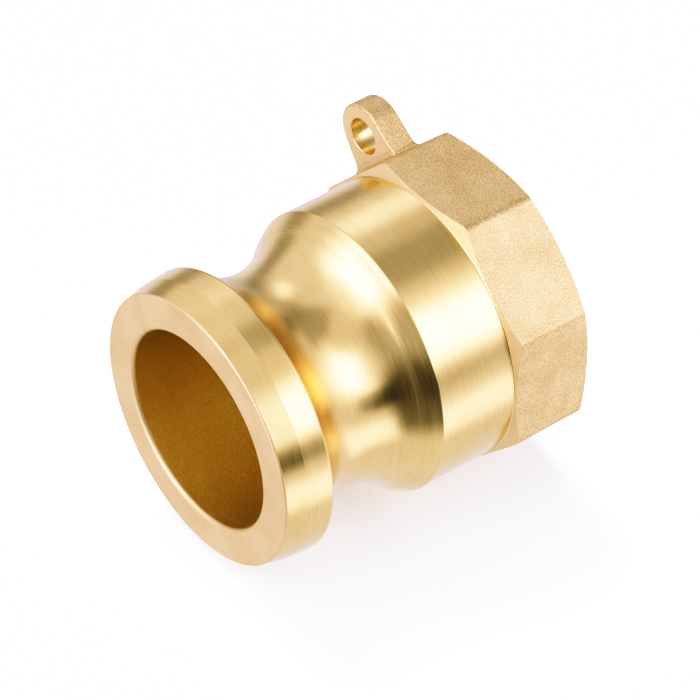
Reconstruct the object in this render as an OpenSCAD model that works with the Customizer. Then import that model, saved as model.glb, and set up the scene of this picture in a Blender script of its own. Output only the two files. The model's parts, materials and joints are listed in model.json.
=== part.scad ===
// Cam and groove male adapter with a female parallel pipe thread, in brass.
// The coupling axis lies along Y with the nose towards -Y. The adapter rests on
// the lowest flat of its octagon, and the origin is halfway along the barrel.

/* [Nose] */
// Diameter of the lip and of the barrel that locates in the coupler
barrel_d = 53.4; // [52.8:0.1:54.0]
// Diameter of the flat face at the nose
nose_d = 50.8; // [49:0.1:51.6]
// Diameter at the edge between the lip's taper and its band
lip_edge_d = 52.4; // [51.8:0.1:52.7]
// Length of the lip's taper
taper_l = 4.4; // [3:0.1:6]
// Distance from the nose to the back of the lip
lip_l = 9.2; // [8:0.1:10.5]

/* [Cam groove] */
// Distance from the nose to the deepest point of the groove
groove_y = 20.4; // [20:0.1:20.8]
// Diameter at the bottom of the groove
groove_d = 42; // [41.6:0.1:42.4]
// Radius of the groove, seen in section
groove_r = 14.1; // [13.6:0.1:14.6]
// Radius of the rounded shoulder behind the groove, seen in section
shoulder_r = 14.4; // [14:0.1:15]

/* [Barrel] */
// Distance from the nose to the front edge of the barrel
barrel_y = 32.4; // [32.2:0.1:32.8]
// Length of the plain barrel
barrel_l = 15.7; // [14:0.1:17]
// Height of the small step between shoulder and barrel
barrel_step = 0.35; // [0.2:0.05:0.4]

/* [Octagon] */
// Distance across the flats
flats_w = 54.2; // [54.1:0.1:54.4]
// Radius of the forged corners
corner_r = 2.2; // [2, 2.2, 2.4, 3, 3.5, 4]
// Distance from the nose to the end of the thread
total_l = 64.6; // [63:0.1:68]
// Angle of the turned chamfers at both ends, from the plane of the end
chamfer_a = 24; // [15:1:35]
// Radius of the fillet between the barrel and the octagon
root_r = 0.6; // [0.3:0.1:0.6]
// How far the end face stops short of the flats
end_inset = 0.2; // [0.1:0.1:0.5]

/* [Chain lug] */
// Thickness of the lug along the coupling axis
lug_t = 5; // [4:0.1:7]
// Distance from the coupling axis to the middle of the lug's hole
lug_h = 32.6; // [32:0.1:34]
// Radius of the lug's round end
lug_r = 6.2; // [5.8:0.1:6.6]
// Half width of the lug where it meets the flat
lug_base = 7.3; // [7:0.1:8.5]
// Diameter of the hole in the lug
lug_hole_d = 6.8; // [5:0.1:7.2]

/* [Bore and thread] */
// Diameter of the flow bore
bore_d = 37.3; // [35:0.1:38]
// Length of the rounded lead-in at the nose
lead_l = 1.2; // [0.5:0.1:2]
// How much wider the bore is at the mouth of the lead-in
lead_w = 0.6; // [0.2:0.1:1]
// Diameter at the crests of the female thread, G 1 1/2
crest_d = 44.845; // [44.845:0.001:45.285]
// Diameter at the roots of the female thread
root_d = 47.803; // [47.803:0.001:47.9]
// Length of the thread's crests between the mouth's chamfer and the relief
thread_l = 18.2; // [16:0.1:18.6]
// Length of the relief behind the thread, which holds the gasket
relief_l = 4.2; // [4:0.1:4.6]

/* [Gasket] */
// Thickness of the flat gasket
gasket_t = 3; // [2:0.1:3.5]
// Inner diameter of the gasket
gasket_id = 38.6; // [38.4:0.1:40]

/* [Hidden] */
$fn = 96;

flats = 8;
lap = 1;                              // how far joined solids reach into each other
barrel_end = barrel_y + barrel_l;
middle = barrel_y + barrel_l / 2;     // origin, measured from the nose
corner_h = flats_w / 2 - corner_r;    // inscribed radius of the corners' centres
corner_c = corner_h / cos(180 / flats);
slope = tan(chamfer_a);
oct_max = corner_c + corner_r;        // radius of the rounded corners
end_r = flats_w / 2 - end_inset;      // radius of the flat face at the thread's end
// where the fillet behind the barrel meets the front chamfer
root_end = [barrel_d / 2 + root_r * (1 - sin(chamfer_a)), barrel_end + root_r * cos(chamfer_a)];
lug_y = (root_end[1] + total_l - lug_t) / 2;
lug_a = 45;                           // lug's lean from the vertical, towards -X
relief_d = root_d + 0.4;
mouth_l = (relief_d - crest_d) / 2;   // 45 degree chamfer at the thread's mouth
seat_y = total_l - mouth_l - thread_l - relief_l;
gasket_od = root_d - 0.6;

// The shoulder's arc touches the groove's arc and ends at the barrel's step.
step_r = barrel_d / 2 - barrel_step;
groove_c = [groove_d / 2 + groove_r, groove_y];
to_step = [step_r, barrel_y] - groove_c;
span = norm(to_step);
along = ((groove_r + shoulder_r) ^ 2 - shoulder_r ^ 2 + span ^ 2) / (2 * span);
aside = sqrt((groove_r + shoulder_r) ^ 2 - along ^ 2);
shoulder_c = groove_c + (along * to_step + aside * [-to_step[1], to_step[0]]) / span;
touch = groove_c + (shoulder_c - groove_c) * groove_r / (groove_r + shoulder_r);

// Turns a half section, drawn as radius and distance from the nose, about Y.
module turned() {
    translate([0, -middle, 0]) rotate([-90, 0, 0]) rotate_extrude() children();
}

// Straight-sided half section of the nose, before the groove is cut
module nose_section() {
    polygon([
        [0, 0], [nose_d / 2, 0], [lip_edge_d / 2, taper_l], [barrel_d / 2, lip_l],
        [touch[0] + lap, touch[1]], [0, touch[1]]
    ]);
}

// Half section of the rounded shoulder, from the groove to the barrel's step
module shoulder_section() {
    intersection() {
        translate([0, touch[1] - lap]) square([step_r + lap, barrel_y - touch[1] + lap]);
        translate(shoulder_c) circle(shoulder_r);
    }
    translate([0, touch[1] - lap]) square([shoulder_c[0], barrel_y - touch[1] + lap]);
}

// Half section of the barrel, with the small step at its front
module barrel_section() {
    translate([0, barrel_y - lap / 2]) square([step_r, lap]);
    translate([0, barrel_y]) square([barrel_d / 2, barrel_l + lap]);
}

// Everything outside the groove's arc, up to the point where the shoulder begins
module groove_cut() {
    intersection() {
        translate(groove_c) circle(groove_r);
        translate([0, lip_l]) square([barrel_d, touch[1] - lip_l]);
    }
}

// Half section of the wrench body: root fillet and chamfer in front, chamfer behind
module wrench_section() {
    rim = oct_max + lap;
    difference() {
        polygon([
            [0, barrel_end], [root_end[0], barrel_end], root_end,
            [rim, root_end[1] + (rim - root_end[0]) * slope],
            [rim, total_l - (rim - end_r) * slope], [end_r, total_l], [0, total_l]
        ]);
        translate([barrel_d / 2 + root_r, barrel_end]) circle(root_r);
    }
}

// Octagon with its rounded corners, as seen from the thread's end
module octagon_outline() {
    turn = 360 / flats;
    polygon([
        for (i = [0 : flats - 1], side = [-1, 1])
            corner_c * [cos(turn * (i + 0.5)), sin(turn * (i + 0.5))]
            + corner_r * [cos(turn * (i + 0.5 + side / 2)), sin(turn * (i + 0.5 + side / 2))]
    ]);
    for (i = [0 : flats - 1])
        rotate(turn * (i + 0.5)) translate([corner_c, 0]) circle(corner_r);
}

// Octagonal bar that gives the wrench body its flats; everything else fits inside it
module octagon_bar() {
    translate([0, total_l + lap - middle, 0])
        rotate([90, 0, 0]) linear_extrude(total_l + 2 * lap) octagon_outline();
}

// Chain lug, standing in the middle of one flat
module lug() {
    // the straight side runs from the foot to where it touches the round end
    foot = [lug_base, flats_w / 2 - lug_h];
    lean = atan2(foot[1], foot[0]) + acos(lug_r / norm(foot));
    side = lug_r * [cos(lean), sin(lean)];
    rotate([0, -lug_a, 0]) translate([0, lug_y + lug_t - middle, 0])
        rotate([90, 0, 0]) linear_extrude(lug_t) {
            translate([0, lug_h]) circle(lug_r);
            polygon([
                [-side[0], lug_h + side[1]], [side[0], lug_h + side[1]],
                [lug_base, flats_w / 2], [lug_base, flats_w / 2 - lap],
                [-lug_base, flats_w / 2 - lap], [-lug_base, flats_w / 2]
            ]);
        }
}

module lug_hole() {
    rotate([0, -lug_a, 0]) translate([0, lug_y + lug_t + lap - middle, lug_h])
        rotate([90, 0, 0]) cylinder(d = lug_hole_d, h = lug_t + 2 * lap);
}

// Half section of the waterway: lead-in, flow bore, gasket seat, relief, thread and mouth
module waterway_section() {
    polygon([
        [0, -lap], [bore_d / 2 + lead_w / 2, -lap], [bore_d / 2 + lead_w / 2, 0],
        [bore_d / 2, lead_l], [bore_d / 2, seat_y], [relief_d / 2, seat_y],
        [relief_d / 2, seat_y + relief_l], [crest_d / 2, seat_y + relief_l],
        [crest_d / 2, total_l - mouth_l], [relief_d / 2, total_l],
        [relief_d / 2, total_l + lap], [0, total_l + lap]
    ]);
}

module adapter_body() color([0.84, 0.68, 0.38]) {
    difference() {
        union() {
            intersection() {
                turned() difference() {
                    union() {
                        nose_section();
                        shoulder_section();
                        barrel_section();
                        wrench_section();
                    }
                    groove_cut();
                }
                octagon_bar();
            }
            lug();
        }
        turned() waterway_section();
        lug_hole();
    }
}

// Flat ring at the bottom of the thread
module thread_gasket() color([0.12, 0.12, 0.12]) {
    turned() translate([gasket_id / 2, seat_y]) square([(gasket_od - gasket_id) / 2, gasket_t]);
}

adapter_body();
thread_gasket();
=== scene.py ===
"""A 1 1/2 inch cam and groove male adapter in brass, lying on one flat of its octagon.

Sizes are in millimetres. Along the coupling axis, y is measured from the nose; angles round
the axis are measured from straight up towards +X, which is a positive turn about +Y.
"""
import json
import math

import bpy
import numpy as np
from mathutils import Euler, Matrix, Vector


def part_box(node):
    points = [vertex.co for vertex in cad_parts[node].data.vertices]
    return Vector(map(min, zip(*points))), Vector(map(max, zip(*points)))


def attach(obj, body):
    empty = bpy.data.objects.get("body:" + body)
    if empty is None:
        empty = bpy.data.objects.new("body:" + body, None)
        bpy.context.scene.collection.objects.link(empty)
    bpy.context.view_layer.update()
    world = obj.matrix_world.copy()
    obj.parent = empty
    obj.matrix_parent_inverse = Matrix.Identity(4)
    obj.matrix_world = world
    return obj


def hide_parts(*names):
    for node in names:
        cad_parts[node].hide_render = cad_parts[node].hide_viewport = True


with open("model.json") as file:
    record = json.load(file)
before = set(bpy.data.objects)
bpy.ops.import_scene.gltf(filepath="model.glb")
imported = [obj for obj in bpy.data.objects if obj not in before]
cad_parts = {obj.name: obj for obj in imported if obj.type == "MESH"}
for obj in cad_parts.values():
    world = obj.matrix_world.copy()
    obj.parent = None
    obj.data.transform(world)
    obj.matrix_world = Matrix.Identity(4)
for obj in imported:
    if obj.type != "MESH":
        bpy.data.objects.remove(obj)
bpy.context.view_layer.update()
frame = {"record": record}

MM = 0.001
mounts = {m["name"]: m for m in frame["record"]["mounts"]}
body_lo, body_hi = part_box("adapter_body")
gasket_lo, gasket_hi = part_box("thread_gasket")


def mount_size(name, key):
    return mounts[name]["dims"][key]


def mount_place(name):
    return Vector(mounts[name]["pos_m"]) / MM


# What the frame says
NOSE = body_lo.y / MM
LENGTH = (body_hi.y - body_lo.y) / MM
FLAT = -body_lo.z / MM                       # from the axis to a flat
BARREL_R = mount_size("coupler_spigot", "r_mm")
BARREL_L = mount_size("coupler_spigot", "length_mm")
BARREL_Y = -NOSE - BARREL_L / 2
BARREL_END = BARREL_Y + BARREL_L
BORE_R = mount_size("flow_bore", "r_mm")
CREST_R = mount_size("pipe_thread", "r_mm")
GROOVE_Y = mount_place("cam_groove").y - NOSE
GROOVE_R = mount_place("cam_groove").x
HOLE_R = mount_size("lug_hole", "r_mm")
LUG_T = mount_size("lug_hole", "length_mm")
LUG_Y = mount_place("lug_hole").y - NOSE - LUG_T / 2
LUG_H = math.hypot(mount_place("lug_hole").x, mount_place("lug_hole").z)
LUG_TURN = math.atan2(mount_place("lug_hole").x, mount_place("lug_hole").z)
SEAT_Y = gasket_lo.y / MM - NOSE
GASKET_R = gasket_hi.x / MM
GASKET_T = (gasket_hi.y - gasket_lo.y) / MM

# Nose, groove and barrel
LEAD_R = 0.9                                 # rounding where the bore meets the nose
NOSE_R = 25.4                                # outer radius of the nose's face
LIP_EDGE = (26.32, 4.4)                      # radius and y where the lip's taper becomes its band
LIP_BACK_Y = 9.2
LIP_ROUNDS = 20                              # enough for the back of the lip to settle
GROOVE_ARC = 14.1                            # radii of the groove and shoulder, seen in section
SHOULDER_ARC = 14.4
STEP = 0.35                                  # from the shoulder up to the barrel
FACET_L = 0.95                               # narrow facet between shoulder and barrel
# Octagon
FLATS = 8
CORNER_R = 2.2
CHAMFER = math.radians(24)                   # of both ends, from the plane of the end
ROOT_FILLET = 0.3                            # between the barrel and the octagon
END_INSET = 0.2                              # how far the end face stops short of the flats
# Chain lug
LUG_R = 6.2                                  # of its round end
LUG_BASE = 7.3                               # half its width at the flat
LUG_EDGE = 0.5                               # radius of its forged edges
LUG_FILLET = 1.3                             # radius where it grows out of the flat
HOLE_BEVEL = 0.25
# Thread G 1 1/2: Whitworth form, 11 turns to the inch
PITCH = 25.4 / 11
THREAD_DEPTH = 0.640327 * PITCH
THREAD_ROUND = 0.137329 * PITCH
FLANK = math.radians(27.5)
RELIEF_R = CREST_R + THREAD_DEPTH + 0.2
RELIEF_L = 4.2                               # the relief holds the gasket
RELIEF_SLOPE = 1.2                           # how steeply the thread runs out into the relief
RUN_OUT = 0.05                               # how softly mouth and relief cut the thread
THREAD_START = 0.12                          # first row of the thread, from the end face
PAST_MOUTH = 0.3                             # how far beyond the mouth the rows are close together
THREAD_STOP = 0.02                           # last row of the thread, from the relief
RELIEF_START = 0.05                          # first row of the relief, from the thread
GASKET_HOLE_R = 19.3
# How far each edge is cut back on both sides to round it off
NOSE_EDGE = 0.38
LIP_EDGE_CUT = 0.05
LIP_BACK_EDGE = 0.45
FACET_FRONT = 0.05
FACET_BACK = 0.15
CHAMFER_EDGE = 0.14
END_EDGE = 0.12
MOUTH_EDGE = 0.1
SEAT_CORNER = 0.3
SEAT_EDGE = 0.15
GASKET_EDGE = 0.35
MOST_CUT = 0.45                              # of a run's length, so that its two cuts never meet

# How finely the shapes are divided
FLAT_STEPS = 36
CORNER_STEPS = 8
ROUNDING_ROWS = 3                            # rows over each rounded edge
MOUTH_ROWS = 24
ROWS_PER_PITCH = 18
FLAT_ROWS = 16
WINDOW_EDGE = 1                              # columns of a flat left beside the lug's patch
WINDOW_ROWS = (2, 14)                        # rows of the flat that the lug's patch replaces
EDGE_STEPS = 4                               # steps over each forged edge of the lug
FILLET_STEPS = 6
RISE_STEPS = 6                               # steps up each straight side of the lug
OVER_STEPS = 30                              # steps over its round end

ZONES = ["turned", "face", "bore", "blasted", "machined", "drilled"]

# Studio
FLOOR_HALF = 6.0                             # metres
FLOOR_GAP = 0.02                             # keeps the lowest flat clear of the floor
KEY_STRENGTH = 2.6
KEY_SPREAD = math.radians(30)
KEY_TURN = [math.radians(a) for a in (0, -38, -10)]
LIGHT_COLOR = (1, 0.985, 0.965, 1)
AMBIENT = 0.9
# bearing, height, half width, half height and softness in degrees, then how much light is left
DARK_PATCHES = [
    (58, -12, 20, 27, 20, 0.2),
    (46, 20, 20, 36, 18, 0.6),
    (92, -1, 26, 8, 10, 0.45),
    (84, -1, 16, 9, 8, 0.35),
    (-106, 2, 30, 10, 14, 0.5),
    (180, 56, 30, 26, 24, 0.55),
    (-164, 14, 7, 16, 9, 0.45),
    (-148, 10, 20, 40, 20, 0.7),
]
# the same, then the light that is added
BRIGHT_PATCHES = [
    (-22, 44, 42, 13, 20, 0.7),
    (-20, 43, 24, 8, 20, 1.2),
    (-12, 64, 50, 16, 24, 0.3),
    (125, 26, 38, 22, 20, 0.6),
    (122, 27, 18, 14, 20, 0.85),
    (-130, 34, 10, 10, 12, 0.7),
    (115, -32, 40, 11, 14, 0.6),
    (178, -4, 12, 9, 10, 0.5),
    (3, 10, 20, 16, 14, 2.4),
]
# Contrast of the picture: scene brightness and shown brightness
CONTRAST = [(0.05, 0.013), (0.1, 0.038), (0.2, 0.12), (0.35, 0.285), (0.5, 0.46), (0.8, 0.78),
            (1.0, 0.91), (1.3, 0.98)]
# and then blue alone, shown brightness before and after: paler lights, golden shadows
BLUE = [(0.016, 0.010), (0.125, 0.115), (0.26, 0.30), (0.33, 0.41), (0.41, 0.52), (0.5, 0.63),
        (0.8, 0.86)]
BRIGHTEST = 1.8                              # scene brightness where the curves end
# Camera: lens and sensor in mm, place in mm from the origin
LENS, SENSOR = 196.8, 36.0
CAMERA_PLACE = (391.31, -313.0, 443.88)
CAMERA_TURN = [math.radians(a) for a in (48.242, -0.144, 52.094)]
NEAREST, FARTHEST = 0.05, 50.0               # metres


# ---------------------------------------------------------------- mesh building

class Shell:
    """Collects points, their exact normals, and faces with a material zone each."""

    def __init__(self):
        self.points, self.normals, self.faces, self.zones = [], [], [], []

    def add(self, points, normals):
        """Adds an array of points and returns their indices in the same shape."""
        points = np.asarray(points, float)
        normals = np.broadcast_to(np.asarray(normals, float), points.shape)
        first = len(self.points)
        self.points.extend(points.reshape(-1, 3))
        self.normals.extend(normals.reshape(-1, 3))
        return np.arange(first, len(self.points)).reshape(points.shape[:-1])

    def strip(self, near, far, zone, closed=True, skip=()):
        """Quads between two rows of indices."""
        count = len(near) if closed else len(near) - 1
        for i in range(count):
            if i in skip:
                continue
            j = (i + 1) % len(near)
            self.faces.append((near[i], near[j], far[j], far[i]))
            self.zones.append(ZONES.index(zone))

    def make(self, name, materials):
        used, faces = np.unique(np.array(self.faces), return_inverse=True)
        points = np.array(self.points)[used] + [0, NOSE, 0]
        mesh = bpy.data.meshes.new(name)
        mesh.from_pydata((points * MM).tolist(), [], faces.reshape(-1, 4).tolist())
        for material in materials:
            mesh.materials.append(material)
        mesh.polygons.foreach_set("material_index", self.zones)
        mesh.polygons.foreach_set("use_smooth", [True] * len(self.faces))
        normals = np.array(self.normals)[used]
        normals /= np.linalg.norm(normals, axis=1)[:, None]
        mesh.normals_split_custom_set_from_vertices(normals.tolist())
        mesh.update()
        piece = bpy.data.objects.new(name, mesh)
        bpy.context.scene.collection.objects.link(piece)
        return piece


def outline(flats, half_width, corner_radius):
    """Angles, radii and outward normals of an octagonal outline with rounded corners."""
    octant = 2 * math.pi / flats
    reach = (half_width - corner_radius) * math.tan(octant / 2)   # half the width of a flat
    centre = (half_width - corner_radius) / math.cos(octant / 2)
    across, along, facing = [], [], []
    for u in np.linspace(-reach, reach, FLAT_STEPS + 1):
        across.append(u)
        along.append(half_width)
        facing.append(0)
    for a in np.linspace(0, octant, CORNER_STEPS + 1)[1:-1]:
        across.append(centre * math.sin(octant / 2) + corner_radius * math.sin(a))
        along.append(centre * math.cos(octant / 2) + corner_radius * math.cos(a))
        facing.append(a)
    turn = np.arctan2(across, along)
    radius = np.hypot(across, along)
    starts = np.arange(flats) * octant
    turns = (starts[:, None] + turn).ravel()
    faces = (starts[:, None] + facing).ravel()
    return turns, np.tile(radius, flats), ring(faces)


def ring(turns):
    """Unit vectors away from the axis at these angles."""
    return np.stack([np.sin(turns), 0 * turns, np.cos(turns)], -1)


TURNS, OUTLINE_R, OUTLINE_N = outline(FLATS, FLAT, CORNER_R)
AWAY = ring(TURNS)
ROUND = ring(TURNS + math.pi / 2)
ALONG = np.array([0.0, 1.0, 0.0])


class Line:
    """A straight run of a half section. Its ends are (radius, y), and may differ by column."""

    def __init__(self, start, end, zone, rows=1, normals=None):
        full = np.zeros(len(TURNS))
        self.start = np.stack([full + start[0], full + start[1]], -1)
        self.end = np.stack([full + end[0], full + end[1]], -1)
        self.length = np.linalg.norm(self.end - self.start, axis=1)
        self.way = (self.end - self.start) / self.length[:, None]
        self.zone, self.rows = zone, rows
        self.facing = normals
        if normals is None:
            self.facing = self.way[:, 1:] * AWAY - self.way[:, :1] * ALONG

    def at(self, s):
        return self.start + self.way * np.reshape(s, (-1, 1)), self.facing


class Arc:
    """A round run of a half section; bulge is 1 where the metal is convex, -1 where hollow."""

    def __init__(self, centre, radius, start, end, bulge, zone, rows):
        self.centre, self.radius, self.bulge = np.array(centre), radius, bulge
        self.from_angle, self.sign = start, math.copysign(1, end - start)
        self.length = np.full(len(TURNS), abs(end - start) * radius)
        self.zone, self.rows = zone, rows
        self.end = np.broadcast_to(self.point(end), (len(TURNS), 2))

    def point(self, angle):
        return self.centre + self.radius * np.array([math.cos(angle), math.sin(angle)])

    def at(self, s):
        angle = self.from_angle + self.sign * s / self.radius
        spot = self.centre + self.radius * np.stack([np.cos(angle), np.sin(angle)], -1)
        facing = np.cos(angle)[:, None] * AWAY + np.sin(angle)[:, None] * ALONG
        return spot, self.bulge * facing


def rows_of(runs, cuts):
    """Rows along the runs. Each corner is rounded off by cutting that much from both sides."""
    rows = []
    count = len(runs)
    for k, run in enumerate(runs):
        before = np.minimum(cuts[k], MOST_CUT * run.length)
        after = np.minimum(cuts[k + 1], MOST_CUT * run.length)
        for step in range(run.rows + 1):
            t = step / run.rows
            spot, facing = run.at(before + (run.length - before - after) * t)
            last = step == run.rows
            if last and np.max(after) == 0 and k + 1 < count:
                continue
            rows.append((spot, facing, run.zone))
        if k + 1 == count or np.max(after) == 0:
            continue
        near, near_n = run.at(run.length - after)
        far, far_n = runs[k + 1].at(np.minimum(cuts[k + 1], MOST_CUT * runs[k + 1].length))
        corner = run.end
        for t in np.arange(1, ROUNDING_ROWS + 1) / (ROUNDING_ROWS + 1):
            spot = (1 - t) ** 2 * near + 2 * t * (1 - t) * corner + t * t * far
            rows.append((spot, (1 - t) * near_n + t * far_n, run.zone))
    return rows


def placed(spot, facing):
    """Points in space of (radius, y) pairs, one at each column."""
    return spot[:, :1] * AWAY + spot[:, 1:] * ALONG, facing


# ---------------------------------------------------------------- the adapter's section

def lip_back(groove_c):
    """Where the lip's band runs into the groove's arc."""
    slope = (BARREL_R - LIP_EDGE[0]) / (LIP_BACK_Y - LIP_EDGE[1])
    radius, y = BARREL_R, LIP_BACK_Y
    for _ in range(LIP_ROUNDS):
        y = GROOVE_Y - math.sqrt(GROOVE_ARC ** 2 - (groove_c[0] - radius) ** 2)
        radius = LIP_EDGE[0] + slope * (y - LIP_EDGE[1])
    return np.array([radius, y])


def shoulder_centre(groove_c):
    """Centre of the shoulder's arc, which touches the groove's arc and ends at the step."""
    reach = GROOVE_ARC + SHOULDER_ARC
    gap = np.array([BARREL_R - STEP, BARREL_Y]) - groove_c
    span = np.linalg.norm(gap)
    lengthwise = (reach ** 2 - SHOULDER_ARC ** 2 + span ** 2) / (2 * span)
    sideways = math.sqrt(reach ** 2 - lengthwise ** 2)
    return groove_c + (lengthwise * gap + sideways * np.array([-gap[1], gap[0]])) / span


def nose_and_barrel():
    """From the gasket's seat through the bore, round the nose and along to the root fillet."""
    groove_c = np.array([GROOVE_R + GROOVE_ARC, GROOVE_Y])
    shoulder_c = shoulder_centre(groove_c)
    lip = lip_back(groove_c)
    groove_start = math.atan2(lip[1] - groove_c[1], lip[0] - groove_c[0]) + 2 * math.pi
    touch = math.atan2(*(shoulder_c - groove_c)[::-1])
    facet_y = BARREL_Y - FACET_L / 2
    shoulder_end = math.asin((facet_y - shoulder_c[1]) / SHOULDER_ARC)
    facet_r = shoulder_c[0] + SHOULDER_ARC * math.cos(shoulder_end)
    barrel_start = (BARREL_R, BARREL_Y + FACET_L / 2)
    runs = [
        Line((BORE_R, SEAT_Y), (BORE_R, LEAD_R), "bore", 16),
        Arc((BORE_R + LEAD_R, LEAD_R), LEAD_R, math.pi, 1.5 * math.pi, 1, "face", 8),
        Line((BORE_R + LEAD_R, 0), (NOSE_R, 0), "face", 3),
        Line((NOSE_R, 0), LIP_EDGE, "turned", 3),
        Line(LIP_EDGE, lip, "turned", 3),
        Arc(groove_c, GROOVE_ARC, groove_start, touch, -1, "turned", 36),
        Arc(shoulder_c, SHOULDER_ARC, touch - math.pi, shoulder_end, 1, "turned", 10),
        Line((facet_r, facet_y), barrel_start, "turned", 1),
        Line(barrel_start, (BARREL_R, BARREL_END), "turned", 10),
    ]
    cuts = [0, 0, 0, NOSE_EDGE, LIP_EDGE_CUT, LIP_BACK_EDGE, 0, FACET_FRONT, FACET_BACK, 0]
    return runs, cuts


def wrench_body():
    """From the root fillet over the octagon's flats to the mouth of the thread."""
    slope = math.tan(CHAMFER)
    root_r = BARREL_R + ROOT_FILLET * (1 - math.sin(CHAMFER))
    root_y = BARREL_END + ROOT_FILLET * math.cos(CHAMFER)
    end_r = FLAT - END_INSET
    front = (OUTLINE_R, root_y + (OUTLINE_R - root_r) * slope)
    back = (OUTLINE_R, LENGTH - (OUTLINE_R - end_r) * slope)
    runs = [
        Arc((BARREL_R + ROOT_FILLET, BARREL_END), ROOT_FILLET, math.pi, math.pi / 2 + CHAMFER,
            -1, "turned", 6),
        Line((root_r, root_y), front, "face", 2),
        Line(front, back, "blasted", FLAT_ROWS, OUTLINE_N),
        Line(back, (end_r, LENGTH), "turned", 3),
        Line((end_r, LENGTH), (RELIEF_R, LENGTH), "machined", 2),
    ]
    cuts = [0, 0, CHAMFER_EDGE, CHAMFER_EDGE, END_EDGE, MOUTH_EDGE]
    return runs, cuts


def thread_radius(turns, y):
    """Radius of the female thread, cut away by the mouth's 45 degree chamfer and by the relief."""
    phase = (y / PITCH - turns / (2 * math.pi)) % 1
    off_crest = np.minimum(phase, 1 - phase) * PITCH

    def rise(q):
        bend = THREAD_ROUND * math.cos(FLANK)
        curve = THREAD_ROUND - np.sqrt(THREAD_ROUND ** 2 - np.minimum(q, bend) ** 2)
        return curve + np.maximum(q - bend, 0) / math.tan(FLANK)

    q = np.minimum(off_crest, PITCH / 2 - off_crest)
    height = np.where(off_crest < PITCH / 4, rise(q), THREAD_DEPTH - rise(q))
    mouth = RELIEF_R - (LENGTH - y)
    relief = RELIEF_R - (y - SEAT_Y - RELIEF_L) * RELIEF_SLOPE
    form = CREST_R + height
    for cutter in (mouth, relief):
        form = (form + cutter + np.sqrt((form - cutter) ** 2 + RUN_OUT ** 2)) / 2
    return np.minimum(form, RELIEF_R)


def thread_rows():
    """Rows from the mouth down to the relief groove, with the real helical ridge."""
    mouth_l = RELIEF_R - CREST_R
    inner = LENGTH - mouth_l - PAST_MOUTH
    last = SEAT_Y + RELIEF_L
    places = np.concatenate([
        np.linspace(LENGTH - THREAD_START, inner, MOUTH_ROWS)[:-1],
        np.linspace(inner, last + THREAD_STOP, round((inner - last) / PITCH * ROWS_PER_PITCH)),
    ])
    rows = []
    small = 1e-4                             # for the slopes, measured over this distance
    for y in places:
        here = thread_radius(TURNS, y)
        by_y = (thread_radius(TURNS, y + small) - thread_radius(TURNS, y - small)) / (2 * small)
        by_turn = (thread_radius(TURNS + small, y) - thread_radius(TURNS - small, y)) / (2 * small)
        facing = -AWAY + (by_turn / here)[:, None] * ROUND + by_y[:, None] * ALONG
        facing /= np.linalg.norm(facing, axis=1)[:, None]
        rows.append((np.stack([here, 0 * here + y], -1), facing, "machined"))
    return rows


def relief_and_seat():
    """From the end of the thread down the relief and in along the gasket's seat."""
    runs = [
        Line((RELIEF_R, SEAT_Y + RELIEF_L - RELIEF_START), (RELIEF_R, SEAT_Y), "machined", 2),
        Line((RELIEF_R, SEAT_Y), (BORE_R, SEAT_Y), "machined", 4),
    ]
    return runs, [0, SEAT_CORNER, SEAT_EDGE]


def add_body(shell):
    """The turned and forged body as one grid; returns the edge of the patch left for the lug."""
    rows = rows_of(*nose_and_barrel())[:-1]
    wrench = rows_of(*wrench_body())
    flat_first = len(rows) + next(i for i, row in enumerate(wrench) if row[2] == "blasted")
    rows += wrench + thread_rows() + rows_of(*relief_and_seat())
    index = [shell.add(*placed(spot, facing)) for spot, facing, _ in rows]
    lug_turn = LUG_TURN % (2 * math.pi)
    start = round(lug_turn / (2 * math.pi) * FLATS) * (FLAT_STEPS + CORNER_STEPS)
    columns = range(start + WINDOW_EDGE, start + FLAT_STEPS - WINDOW_EDGE)
    window = range(flat_first + WINDOW_ROWS[0], flat_first + WINDOW_ROWS[1])
    for k, row in enumerate(rows):
        skip = columns if k in window else ()
        shell.strip(index[k], index[(k + 1) % len(rows)], row[2], skip=skip)
    top, bottom = index[window.start], index[window.stop]
    first, last = columns.start, columns.stop
    side = [index[k] for k in window]
    border = list(top[first:last])
    border += [row[last] for row in side]
    border += list(bottom[first + 1:last + 1][::-1])
    border += [index[k][first] for k in range(window.stop, window.start, -1)]
    return np.array(border)


# ---------------------------------------------------------------- chain lug

LUG_UP = np.array([math.sin(LUG_TURN), 0, math.cos(LUG_TURN)])
LUG_ASIDE = np.array([math.cos(LUG_TURN), 0, -math.sin(LUG_TURN)])
# how far the lug's straight sides lean in, so that they touch its round end
FOOT = (LUG_BASE, FLAT - LUG_H)
LUG_LEAN = math.atan2(FOOT[1], FOOT[0]) + math.acos(LUG_R / math.hypot(*FOOT))
# quads along a side and along the front of its foot, between the forged edges
SIDE_STEPS = WINDOW_ROWS[1] - WINDOW_ROWS[0] - EDGE_STEPS
FRONT_STEPS = FLAT_STEPS - 2 * WINDOW_EDGE - EDGE_STEPS


def lug_space(across, y, height):
    """Points given beside, along and above the axis on the lug's own flat."""
    across, y, height = np.broadcast_arrays(across, y, height)
    return across[..., None] * LUG_ASIDE + y[..., None] * ALONG + height[..., None] * LUG_UP


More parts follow.
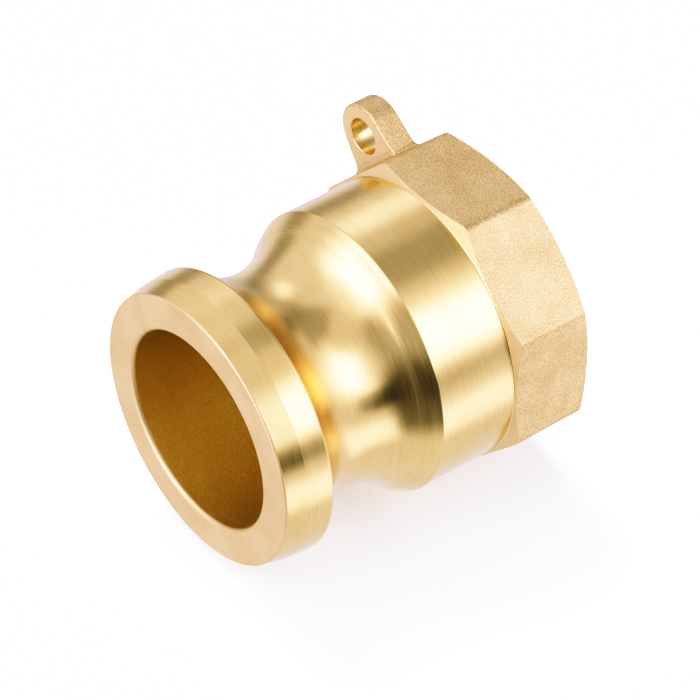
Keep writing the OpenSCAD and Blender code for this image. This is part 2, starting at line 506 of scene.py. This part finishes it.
def lug_profile():
    """A side across the lug's thickness: its y, and how much it faces outwards and along y."""
    bend = np.linspace(90, 0, EDGE_STEPS + 1) * math.pi / 180
    front_y = LUG_Y + LUG_EDGE * (1 - np.sin(bend))
    rear_y = LUG_Y + LUG_T - LUG_EDGE * (1 - np.sin(bend))
    flat_y = np.linspace(LUG_Y + LUG_EDGE, LUG_Y + LUG_T - LUG_EDGE, SIDE_STEPS + 1)[1:-1]
    side_y = np.concatenate([front_y, flat_y, rear_y[::-1]])
    out = np.concatenate([np.cos(bend), np.ones(SIDE_STEPS - 1), np.cos(bend[::-1])])
    fore = np.concatenate([-np.sin(bend), np.zeros(SIDE_STEPS - 1), np.sin(bend[::-1])])
    return side_y, out, fore


def lug_foot(side_y, out, fore):
    """The lug's outline on the flat as one loop: beside, y, and how it faces in both."""
    side_u = LUG_BASE - LUG_EDGE * (1 - out) / math.cos(LUG_LEAN)
    front_u = np.linspace(-side_u[0], side_u[0], FRONT_STEPS + 1)[1:-1]
    none = 0 * front_u
    half = EDGE_STEPS // 2
    left, rest = slice(half, None, -1), slice(None, half, -1)
    u = np.concatenate([-side_u[left], front_u, side_u, front_u[::-1], -side_u[rest]])
    y = np.concatenate([side_y[left], none + LUG_Y, side_y, none + LUG_Y + LUG_T, side_y[rest]])
    facing_u = np.concatenate([-out[left], none, out, none, -out[rest]])
    facing_y = np.concatenate([fore[left], none - 1, fore, none + 1, fore[rest]])
    return u, y, facing_u, facing_y


def add_foot(shell, border, profile):
    """The fillet between the flat and the lug; returns its upper edge."""
    u, y, out, fore = lug_foot(*profile)
    tilt = np.arcsin(np.abs(out) * math.sin(LUG_LEAN))
    plan_u, plan_y = out * math.cos(LUG_LEAN) / np.cos(tilt), fore / np.cos(tilt)
    turn = math.pi / 2 - tilt
    reach = LUG_FILLET * np.tan(turn / 2)
    near = border
    for step in range(FILLET_STEPS + 1):
        a = turn * step / FILLET_STEPS
        off = reach - LUG_FILLET * np.sin(a)
        points = lug_space(u + plan_u * off, y + plan_y * off,
                           FLAT + LUG_FILLET * (1 - np.cos(a)))
        facing = lug_space(plan_u * np.sin(a), plan_y * np.sin(a), np.cos(a))
        far = shell.add(points, facing)
        shell.strip(near, far, "blasted")
        near = far
    return near


def loop_parts(loop, side_count):
    """The foot's right and left sides, and its front and rear edges."""
    half = EDGE_STEPS // 2
    right_start = half + FRONT_STEPS
    right_end = right_start + side_count
    left_start = right_end + FRONT_STEPS - 1
    left = np.concatenate([loop[left_start:], loop[:half + 1]])[::-1]
    front = loop[half:right_start + 1]
    rear = loop[right_end - 1:left_start + 1][::-1]
    return loop[right_start:right_end], left, front, rear


def lug_outline():
    """Stations up one side, over the round end and down the other: places and normals."""
    angles = np.linspace(LUG_LEAN, math.pi - LUG_LEAN, OVER_STEPS + 1)
    over_n = np.stack([np.cos(angles), np.sin(angles)], -1)
    over = LUG_R * over_n + [0, LUG_H]
    up_side = np.array([-math.sin(LUG_LEAN), math.cos(LUG_LEAN)])
    base = np.array([LUG_BASE, FLAT]) + LUG_FILLET * up_side
    rise = base + (over[0] - base) * (np.arange(1, RISE_STEPS) / RISE_STEPS)[:, None]
    rise_n = np.tile(over_n[0], (RISE_STEPS - 1, 1))
    spots = np.concatenate([rise, over, (rise * [-1, 1])[::-1]])
    return spots, np.concatenate([rise_n, over_n, rise_n * [-1, 1]])


def add_sides(shell, right, left, profile):
    """The sides and the round end with their forged edges; returns the points by station."""
    side_y, out, fore = profile
    spots, normals = lug_outline()
    depth = LUG_EDGE * (1 - out)
    place = spots[:, None, :] - depth[None, :, None] * normals[:, None, :]
    points = lug_space(place[..., 0], side_y[None, :], place[..., 1])
    facing = lug_space(out * normals[:, :1], fore[None, :], out * normals[:, 1:])
    inner = shell.add(points, facing)
    stations = [right, *inner, left]
    for near, far in zip(stations, stations[1:]):
        shell.strip(near, far, "blasted", closed=False)
    return inner


def add_faces(shell, front_loop, rear_loop):
    """The two flat faces and the bevelled hole, as rings round the hole from front to rear."""
    edge = np.array([shell.points[i] for i in front_loop])
    across, height = edge @ LUG_ASIDE, edge @ LUG_UP - LUG_H
    angle, size = np.arctan2(height, across), np.hypot(across, height)
    rim = HOLE_R + HOLE_BEVEL
    # radius, depth, how far the surface has turned away from the front, and its zone
    rings = [((size + rim) / 2, 0, 0, "face"), (rim, 0, 0, "face")]
    for bend in np.radians([30, 60, 90]):
        rings.append((rim - HOLE_BEVEL * math.sin(bend), HOLE_BEVEL * (1 - math.cos(bend)),
                      bend, "drilled"))
    for share in (0.35, 0.65):
        rings.append((HOLE_R, LUG_T * share, math.pi / 2, "drilled"))
    for bend in np.radians([90, 120, 150, 180]):
        rings.append((rim - HOLE_BEVEL * math.sin(bend), LUG_T - HOLE_BEVEL * (1 + math.cos(bend)),
                      bend, "drilled"))
    rings.append(((size + rim) / 2, LUG_T, math.pi, "face"))
    near = front_loop
    for radius, depth, bend, zone in rings:
        points = lug_space(radius * np.cos(angle), LUG_Y + depth, LUG_H + radius * np.sin(angle))
        facing = lug_space(-np.cos(angle) * math.sin(bend), -math.cos(bend),
                           -np.sin(angle) * math.sin(bend))
        far = shell.add(points, facing)
        shell.strip(near, far, zone)
        near = far
    shell.strip(near, rear_loop, "face")


def add_lug(shell, border):
    """The chain lug, grown out of the patch that the body leaves open."""
    profile = lug_profile()
    loop = add_foot(shell, border, profile)
    right, left, front, rear = loop_parts(loop, len(profile[0]))
    sides = add_sides(shell, right, left, profile)
    add_faces(shell, np.concatenate([front, sides[:, 0]]), np.concatenate([rear, sides[:, -1]]))


# ---------------------------------------------------------------- gasket

def make_gasket(material):
    """Flat ring with rounded edges at the bottom of the thread."""
    low, high = SEAT_Y, SEAT_Y + GASKET_T
    runs = [
        Line((GASKET_HOLE_R, high), (GASKET_HOLE_R, low), "turned", 2),
        Line((GASKET_HOLE_R, low), (GASKET_R, low), "turned", 3),
        Line((GASKET_R, low), (GASKET_R, high), "turned", 2),
        Line((GASKET_R, high), (GASKET_HOLE_R, high), "turned", 3),
    ]
    shell = Shell()
    index = []
    for run, following in zip(runs, runs[1:] + runs[:1]):
        rows = rows_of([run, following], [GASKET_EDGE, GASKET_EDGE, GASKET_EDGE])
        for spot, facing, _ in rows[:run.rows + 1 + ROUNDING_ROWS]:
            index.append(shell.add(*placed(spot, facing)))
    for near, far in zip(index, index[1:] + index[:1]):
        shell.strip(near, far, "turned")
    return shell.make("thread_gasket_ring", [material])


# ---------------------------------------------------------------- materials

class Nodes:
    """Short calls for building a node tree."""

    def __init__(self, tree):
        self.tree = tree
        tree.nodes.clear()

    def add(self, kind, inputs=(), **settings):
        node = self.tree.nodes.new(kind)
        for key, value in settings.items():
            setattr(node, key, value)
        for key, value in dict(inputs).items():
            if isinstance(value, bpy.types.NodeSocket):
                self.tree.links.new(value, node.inputs[key])
            else:
                node.inputs[key].default_value = value
        return node

    def math(self, operation, a, b=0.0, c=0.0):
        return self.add("ShaderNodeMath", {0: a, 1: b, 2: c}, operation=operation).outputs[0]

    def ramp(self, value, low, high, to_low=0.0, to_high=1.0, kind="SMOOTHSTEP"):
        return self.add("ShaderNodeMapRange", {"Value": value, "From Min": low, "From Max": high,
                                               "To Min": to_low, "To Max": to_high},
                        interpolation_type=kind).outputs["Result"]

    def mix(self, factor, a, b):
        node = self.add("ShaderNodeMix", data_type="RGBA")
        for socket, value in ((0, factor), (6, a), (7, b)):
            if isinstance(value, bpy.types.NodeSocket):
                self.tree.links.new(value, node.inputs[socket])
            else:
                node.inputs[socket].default_value = value
        return node.outputs[2]

    def noise(self, vector, scale, detail=2.0, rough=0.5):
        node = self.add("ShaderNodeTexNoise", {"Vector": vector, "Scale": scale, "Detail": detail,
                                               "Roughness": rough})
        return node.outputs["Fac"]


def rgba(r, g, b):
    return (r, g, b, 1.0)


def new_material(name):
    material = bpy.data.materials.new(name)
    material.use_nodes = True
    return material, Nodes(material.node_tree)


def shade(nodes, color, rough, height=None, depth=None, metal=1.0, **sockets):
    """Principled surface, with an optional bump of this depth in metres."""
    inputs = {"Base Color": color, "Roughness": rough, "Metallic": metal, **sockets}
    if height is not None:
        bump = nodes.add("ShaderNodeBump", {"Height": height, "Distance": depth, "Strength": 1.0})
        inputs["Normal"] = bump.outputs["Normal"]
    shader = nodes.add("ShaderNodeBsdfPrincipled", inputs)
    nodes.add("ShaderNodeOutputMaterial", {"Surface": shader.outputs["BSDF"]})


def place_of(nodes):
    return nodes.add("ShaderNodeTexCoord").outputs["Object"]


def lathe_lines(nodes, place, per_mm, along_turn):
    """Noise drawn out round the axis: lines as a lathe tool leaves them, some per_mm to a mm."""
    xyz = nodes.add("ShaderNodeSeparateXYZ", {"Vector": place})
    x, y, z = (xyz.outputs[k] for k in "XYZ")
    radius = nodes.math("SQRT", nodes.math("ADD", nodes.math("MULTIPLY", x, x),
                                           nodes.math("MULTIPLY", z, z)))
    safe = nodes.math("MAXIMUM", radius, MM)
    around = nodes.add("ShaderNodeCombineXYZ", {
        "X": nodes.math("MULTIPLY", nodes.math("DIVIDE", x, safe), along_turn),
        "Y": nodes.math("MULTIPLY", y, per_mm / MM),
        "Z": nodes.math("MULTIPLY", nodes.math("DIVIDE", z, safe), along_turn)})
    out = nodes.math("MULTIPLY", radius, per_mm / MM)
    node = nodes.add("ShaderNodeTexNoise", {"Vector": around.outputs[0], "W": out, "Scale": 1.0,
                                            "Detail": 3.0, "Roughness": 0.6},
                     noise_dimensions="4D")
    return node.outputs["Fac"]


def turned_brass():
    """Satin turned brass: fine lines round the axis, slightly uneven polish."""
    material, nodes = new_material("brass_turned")
    place = place_of(nodes)
    fine = lathe_lines(nodes, place, per_mm=18.0, along_turn=6.0)
    broad = lathe_lines(nodes, place, per_mm=2.2, along_turn=2.0)
    cloud = nodes.noise(place, scale=90.0, detail=3.0)
    tone = nodes.math("ADD", nodes.math("MULTIPLY", fine, 0.7), nodes.math("MULTIPLY", cloud, 0.3))
    color = nodes.mix(nodes.ramp(tone, 0.35, 0.65), rgba(0.83, 0.605, 0.32), rgba(0.93, 0.705, 0.405))
    rough = nodes.math("ADD", nodes.ramp(broad, 0.3, 0.7, 0.18, 0.22),
                       nodes.ramp(fine, 0.3, 0.7, -0.03, 0.04))
    height = nodes.math("ADD", fine, nodes.math("MULTIPLY", broad, 0.25))
    tangent = nodes.add("ShaderNodeTangent", direction_type="RADIAL", axis="Y")
    shade(nodes, color, rough, height, depth=0.000006, Anisotropic=0.6,
          Tangent=tangent.outputs["Tangent"], **{"Anisotropic Rotation": 0.25})
    return material


def face_brass():
    """Matt and pale, with very fine marks: nose face, lead-in, front chamfer and lug faces."""
    material, nodes = new_material("brass_nose_face")
    place = place_of(nodes)
    fine = lathe_lines(nodes, place, per_mm=4.0, along_turn=3.0)
    grain = nodes.noise(place, scale=2600.0, detail=3.0)
    cloud = nodes.noise(place, scale=120.0, detail=3.0)
    color = nodes.mix(nodes.ramp(cloud, 0.3, 0.7), rgba(0.84, 0.63, 0.395), rgba(0.89, 0.69, 0.445))
    height = nodes.math("ADD", nodes.math("MULTIPLY", fine, 0.4), grain)
    shade(nodes, color, nodes.ramp(grain, 0.3, 0.7, 0.46, 0.56), height, depth=0.000003)
    return material


def blasted(name, low, high, rough, depth, grain_scale=4200.0, **sockets):
    """Sand-blasted brass: an even, sparkling grain with a faint unevenness."""
    material, nodes = new_material(name)
    place = place_of(nodes)
    grain = nodes.noise(place, grain_scale, detail=3.0, rough=0.6)
    pits = nodes.add("ShaderNodeTexVoronoi", {"Vector": place, "Scale": grain_scale * 0.75})
    cloud = nodes.noise(place, scale=160.0, detail=4.0, rough=0.6)
    tone = nodes.math("ADD", nodes.math("MULTIPLY", grain, 0.8), nodes.math("MULTIPLY", cloud, 0.2))
    color = nodes.mix(nodes.ramp(tone, 0.38, 0.62), low, high)
    height = nodes.math("ADD", grain, nodes.math("MULTIPLY", pits.outputs["Distance"], 0.6))
    shade(nodes, color, nodes.ramp(grain, 0.3, 0.7, rough - 0.05, rough + 0.07), height, depth,
          **sockets)
    return material


def bore_brass():
    """The bore: golden, and dull where the view grazes its wall."""
    return blasted("brass_bore", rgba(0.90, 0.685, 0.25), rgba(0.97, 0.775, 0.31), rough=0.42,
                   depth=0.00004, grain_scale=3000.0, **{"Specular Tint": rgba(0.42, 0.34, 0.25)})


def skin_brass():
    """The octagon's flats, and the lug's foot, sides and round end."""
    return blasted("brass_blasted", rgba(0.62, 0.44, 0.25), rgba(0.93, 0.72, 0.46), rough=0.45,
                   depth=0.00005)


def machined_brass():
    """The thread, relief and end face: cleanly cut, brighter than the blasted skin."""
    material, nodes = new_material("brass_machined")
    place = place_of(nodes)
    fine = lathe_lines(nodes, place, per_mm=5.0, along_turn=2.0)
    color = nodes.mix(nodes.ramp(fine, 0.3, 0.7), rgba(0.84, 0.59, 0.25), rgba(0.90, 0.65, 0.30))
    shade(nodes, color, nodes.ramp(fine, 0.3, 0.7, 0.2, 0.3), fine, depth=0.000004)
    return material


def drilled_brass():
    """The wall of the lug's hole, as a drill leaves it."""
    material, nodes = new_material("brass_drilled")
    place = place_of(nodes)
    stretched = nodes.add("ShaderNodeMapping", {"Vector": place, "Scale": (300, 2500, 300)})
    lines = nodes.noise(stretched.outputs[0], scale=1.0, detail=2.0)
    color = nodes.mix(lines, rgba(0.78, 0.60, 0.34), rgba(0.88, 0.70, 0.44))
    shade(nodes, color, nodes.ramp(lines, 0.3, 0.7, 0.2, 0.32), lines, depth=0.000008)
    return material


def gasket_rubber():
    """Black moulded rubber with a faint bloom."""
    material, nodes = new_material("gasket_rubber")
    place = place_of(nodes)
    grain = nodes.noise(place, scale=1800.0, detail=3.0)
    bloom = nodes.noise(place, scale=140.0, detail=4.0)
    color = nodes.mix(nodes.ramp(bloom, 0.35, 0.75), rgba(0.012, 0.012, 0.013),
                      rgba(0.035, 0.034, 0.033))
    shade(nodes, color, nodes.ramp(bloom, 0.3, 0.7, 0.5, 0.68), grain, depth=0.00001, metal=0.0)
    return material


def pale_floor():
    """A white sheet that glows a little, so that the shadow on it stays pale."""
    material, nodes = new_material("floor_pale")
    place = place_of(nodes)
    tone = nodes.noise(place, scale=3.0, detail=2.0)
    color = nodes.mix(tone, rgba(0.86, 0.89, 0.825), rgba(0.88, 0.91, 0.845))
    shade(nodes, color, rough=0.9, metal=0.0, **{
        "Emission Color": rgba(1, 0.965, 0.86), "Emission Strength": 0.34, "Specular IOR Level": 0.0})
    return material


# ---------------------------------------------------------------- studio

def add_floor():
    """The sheet the part lies on. The brass doesn't reflect it, only the world's patches."""
    mesh = bpy.data.meshes.new("floor")
    z = body_lo.z - FLOOR_GAP * MM
    corners = [(x * FLOOR_HALF, y * FLOOR_HALF, z) for x, y in [(-1, -1), (1, -1), (1, 1), (-1, 1)]]
    mesh.from_pydata(corners, [], [(0, 1, 2, 3)])
    mesh.materials.append(pale_floor())
    floor = bpy.data.objects.new("floor", mesh)
    bpy.context.scene.collection.objects.link(floor)
    floor.visible_glossy = False
    floor.visible_shadow = False


def add_key_light():
    """Gives the floor its soft shadow towards +X; the brass reflects only the world's patches."""
    data = bpy.data.lights.new("key", "SUN")
    data.energy = KEY_STRENGTH
    data.angle = KEY_SPREAD
    light = bpy.data.objects.new("key", data)
    light.rotation_euler = Euler(KEY_TURN)
    light.visible_glossy = False
    bpy.context.scene.collection.objects.link(light)


def add_world():
    """The studio as the brass sees it: softboxes and dark gaps, as bearings round the part."""
    world = bpy.data.worlds.new("studio")
    world.use_nodes = True
    bpy.context.scene.world = world
    nodes = Nodes(world.node_tree)
    way = nodes.add("ShaderNodeTexCoord").outputs["Generated"]
    xyz = nodes.add("ShaderNodeSeparateXYZ", {"Vector": way})
    behind = nodes.math("MULTIPLY", xyz.outputs["Y"], -1.0)
    bearing = nodes.math("DEGREES", nodes.math("ARCTAN2", xyz.outputs["X"], behind))
    height = nodes.math("DEGREES", nodes.math("ARCSINE", xyz.outputs["Z"]))

    def patch(at, up, half_wide, half_high, soft):
        """1 inside a rectangle of bearings and heights, falling to 0 over soft degrees."""
        off = nodes.math("WRAP", nodes.math("SUBTRACT", bearing, at), -180.0, 180.0)
        wide = nodes.math("ABSOLUTE", off)
        high = nodes.math("ABSOLUTE", nodes.math("SUBTRACT", height, up))
        in_wide = nodes.ramp(wide, half_wide - soft / 2, half_wide + soft / 2, 1.0, 0.0)
        in_high = nodes.ramp(high, half_high - soft / 2, half_high + soft / 2, 1.0, 0.0)
        return nodes.math("MULTIPLY", in_wide, in_high)

    level = AMBIENT
    for at, up, half_wide, half_high, soft, keep in DARK_PATCHES:
        inside = patch(at, up, half_wide, half_high, soft)
        level = nodes.math("MULTIPLY", level, nodes.ramp(inside, 0, 1, 1.0, keep, "LINEAR"))
    for at, up, half_wide, half_high, soft, strength in BRIGHT_PATCHES:
        inside = patch(at, up, half_wide, half_high, soft)
        level = nodes.math("ADD", level, nodes.math("MULTIPLY", inside, strength))
    light = nodes.add("ShaderNodeBackground", {"Color": LIGHT_COLOR, "Strength": level})
    nodes.add("ShaderNodeOutputWorld", {"Surface": light.outputs[0]})


def set_contrast():
    """Standard colours with a soft shoulder and deeper shadows, as in a studio picture."""
    settings = bpy.context.scene.view_settings
    settings.view_transform = "Standard"
    settings.use_curve_mapping = True
    mapping = settings.curve_mapping
    mapping.white_level = (BRIGHTEST, BRIGHTEST, BRIGHTEST)
    blue, combined = mapping.curves[2], mapping.curves[3]
    for scene_value, shown in CONTRAST:
        combined.points.new(scene_value / BRIGHTEST, shown)
    for before, after in BLUE:
        blue.points.new(before, after)
    mapping.update()


def add_camera():
    """A long lens, looking down at the nose from the right."""
    data = bpy.data.cameras.new("camera")
    data.lens, data.sensor_width = LENS, SENSOR
    data.clip_start, data.clip_end = NEAREST, FARTHEST
    camera = bpy.data.objects.new("camera", data)
    camera.location = Vector(CAMERA_PLACE) * MM
    camera.rotation_euler = Euler(CAMERA_TURN)
    bpy.context.scene.collection.objects.link(camera)
    bpy.context.scene.camera = camera


add_camera()
add_floor()
add_key_light()
add_world()
set_contrast()

# in the order of ZONES
brass = [turned_brass(), face_brass(), bore_brass(), skin_brass(), machined_brass(), drilled_brass()]
body_shell = Shell()
add_lug(body_shell, add_body(body_shell))
body = body_shell.make("adapter_body_brass", brass)
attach(body, "root")
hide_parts("adapter_body")

gasket = make_gasket(gasket_rubber())
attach(gasket, "root")
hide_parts("thread_gasket")
